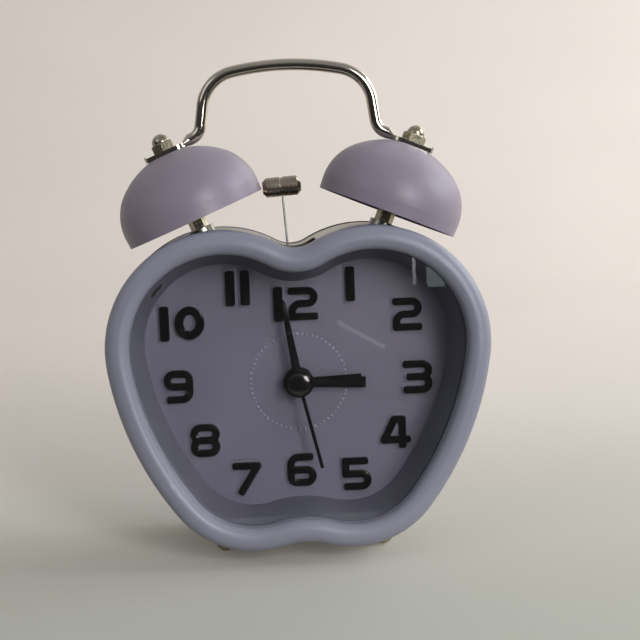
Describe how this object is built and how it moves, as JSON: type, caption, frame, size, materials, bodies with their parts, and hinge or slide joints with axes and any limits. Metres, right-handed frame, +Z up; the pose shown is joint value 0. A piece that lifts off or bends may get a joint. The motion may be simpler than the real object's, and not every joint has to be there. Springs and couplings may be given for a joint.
{
  "type": "twin_bell_alarm_clock",
  "caption": "Battery alarm clock with an apple-shaped lilac case, tilted bells, a swinging hammer and a wire carrying handle.",
  "frame": {"origin": "middle of the clock's bounding box on the surface it stands on", "axes": "+X to the right as the dial is read, +Y from the dial to the back, +Z up; the case leans back a few degrees"},
  "size_m": [0.126, 0.0646, 0.1633],
  "materials": {
    "lilac_satin_plastic": "satin soft-touch lilac",
    "lilac_dial_plastic": "satin lilac",
    "lilac_painted_steel": "matt lilac paint",
    "black_gloss_plastic": "gloss black",
    "clear_acrylic": "clear polished",
    "nickel_plate": "bright nickel",
    "bright_chrome": "polished chrome",
    "dark_nickel_steel": "satin dark nickel",
    "steel": "plain steel",
    "brass": "plain brass",
    "black_paint_aluminium": "gloss black paint",
    "black_plastic": "matt black",
    "white_acetal": "natural white",
    "green_board": "solder mask green",
    "copper_wire": "enamelled copper",
    "battery_sleeve": "plain dark sleeve",
    "lamp_resin": "clear resin",
    "magnet": "sintered grey"
  },
  "bodies": {
    "case": {"aa_battery": "battery_sleeve", "acorn_nuts": "nickel_plate", "alarm_motor": "steel", "alarm_switch_body": "black_plastic", "bell_left": "lilac_painted_steel", "bell_post_left": "nickel_plate", "bell_post_right": "nickel_plate", "bell_right": "lilac_painted_steel", "button_switch": "black_plastic", "carry_handle": "bright_chrome", "case_band": "nickel_plate", "circuit_board": "green_board", "coil": "copper_wire", "cover_screws": "nickel_plate", "crystal_lens": "clear_acrylic", "dial_plate": "lilac_dial_plastic", "dial_surround": "lilac_dial_plastic", "flange_screws": "steel", "foot_nuts": "nickel_plate", "front_bezel": "lilac_satin_plastic", "front_foot_left": "nickel_plate", "front_foot_right": "nickel_plate", "hammer_pivot_pin": "steel", "hour_numerals": "black_gloss_plastic", "motor_bracket": "steel", "movement_back_housing": "black_plastic", "movement_front_housing": "black_plastic", "movement_screws": "steel", "negative_contact": "steel", "night_lamp": "lamp_resin", "positive_contact": "nickel_plate", "post_nuts": "nickel_plate", "post_washers": "steel", "rear_cover": "lilac_satin_plastic", "stator": "steel", "train_bridge": "white_acetal"},
    "hammer": {"hammer_head": "dark_nickel_steel", "hammer_wire": "steel", "hammer_lever": "white_acetal"},
    "striker": {"motor_shaft": "steel", "striker_eccentric": "brass"},
    "rotor": {"rotor": "magnet"},
    "intermediate": {"intermediate_wheel": "white_acetal"},
    "seconds": {"second_wheel": "white_acetal", "second_hand": "black_paint_aluminium"},
    "third": {"third_wheel": "white_acetal"},
    "centre": {"centre_wheel": "white_acetal"},
    "minutes": {"cannon_pinion": "white_acetal", "minute_hand": "black_paint_aluminium"},
    "time_setting": {"minute_wheel": "white_acetal", "time_set_knob": "black_plastic"},
    "hours": {"hour_wheel": "white_acetal", "hour_hand": "black_paint_aluminium"},
    "alarm_time": {"alarm_wheel": "white_acetal", "alarm_hand": "black_paint_aluminium"},
    "alarm_setting": {"alarm_setting_pinion": "white_acetal", "alarm_set_knob": "black_plastic"},
    "alarm_switch": {"alarm_switch_slider": "black_plastic"},
    "light_button": {"light_button": "lilac_satin_plastic"},
    "battery_door": {"battery_door": "lilac_satin_plastic"}
  },
  "joints": [
    {"name": "second_hand_spin", "type": "hinge", "parent": "case", "child": "seconds", "pos_m": [0, -0.00129, 0.05562], "axis": [0, 0.9945, -0.1048], "continuous": true},
    {"name": "rotor_spin", "type": "hinge", "parent": "case", "child": "rotor", "pos_m": [-0.01647, -0.00223, 0.04676], "axis": [0, 0.9945, -0.1048], "continuous": true},
    {"name": "intermediate_spin", "type": "hinge", "parent": "case", "child": "intermediate", "pos_m": [-0.00891, -0.00223, 0.04676], "axis": [0, 0.9945, -0.1048], "continuous": true},
    {"name": "third_wheel_spin", "type": "hinge", "parent": "case", "child": "third", "pos_m": [0.01182, -0.00096, 0.05877], "axis": [0, 0.9945, -0.1048], "continuous": true},
    {"name": "centre_wheel_spin", "type": "hinge", "parent": "case", "child": "centre", "pos_m": [0, -0.00129, 0.05562], "axis": [0, 0.9945, -0.1048], "continuous": true},
    {"name": "time_knob_spin", "type": "hinge", "parent": "case", "child": "time_setting", "pos_m": [0.00711, -0.00236, 0.04552], "axis": [0, 0.9945, -0.1048], "continuous": true},
    {"name": "minute_hand_spin", "type": "hinge", "parent": "case", "child": "minutes", "pos_m": [0, -0.00129, 0.05562], "axis": [0, 0.9945, -0.1048], "continuous": true},
    {"name": "hour_hand_spin", "type": "hinge", "parent": "case", "child": "hours", "pos_m": [0, -0.00129, 0.05562], "axis": [0, 0.9945, -0.1048], "continuous": true},
    {"name": "alarm_knob_spin", "type": "hinge", "parent": "case", "child": "alarm_setting", "pos_m": [-0.01082, -0.00064, 0.06183], "axis": [0, 0.9945, -0.1048], "continuous": true},
    {"name": "alarm_hand_spin", "type": "hinge", "parent": "case", "child": "alarm_time", "pos_m": [0, -0.00129, 0.05562], "axis": [0, 0.9945, -0.1048], "continuous": true},
    {"name": "striker_spin", "type": "hinge", "parent": "case", "child": "striker", "pos_m": [0, 0.00216, 0.08844], "axis": [0, 0.9945, -0.1048], "continuous": true},
    {"name": "hammer_swing", "type": "hinge", "parent": "case", "child": "hammer", "pos_m": [0, 0.00269, 0.0743], "axis": [0, 0.9945, -0.1048], "range_deg": [0, 7.44]},
    {"name": "alarm_switch_slide", "type": "slide", "parent": "case", "child": "alarm_switch", "axis": [0, 0.1048, 0.9945], "range_m": [0, 0.004]},
    {"name": "light_button_press", "type": "slide", "parent": "case", "child": "light_button", "axis": [0, -0.9945, 0.1048], "range_m": [0, 0.0012], "stiffness_N_per_m": 250},
    {"name": "battery_door_swing", "type": "hinge", "parent": "case", "child": "battery_door", "pos_m": [0, 0.02067, 0.01358], "axis": [-1, 0, 0], "range_deg": [0, 70]}
  ],
  "couplings": [
    {"joint": "rotor_spin", "follows": "second_hand_spin", "ratio": 30},
    {"joint": "intermediate_spin", "follows": "second_hand_spin", "ratio": -5},
    {"joint": "third_wheel_spin", "follows": "second_hand_spin", "ratio": -0.13333},
    {"joint": "centre_wheel_spin", "follows": "second_hand_spin", "ratio": 0.016667},
    {"joint": "minute_hand_spin", "follows": "time_knob_spin", "ratio": -3},
    {"joint": "hour_hand_spin", "follows": "time_knob_spin", "ratio": -0.25},
    {"joint": "alarm_hand_spin", "follows": "alarm_knob_spin", "ratio": -0.25}
  ]
}
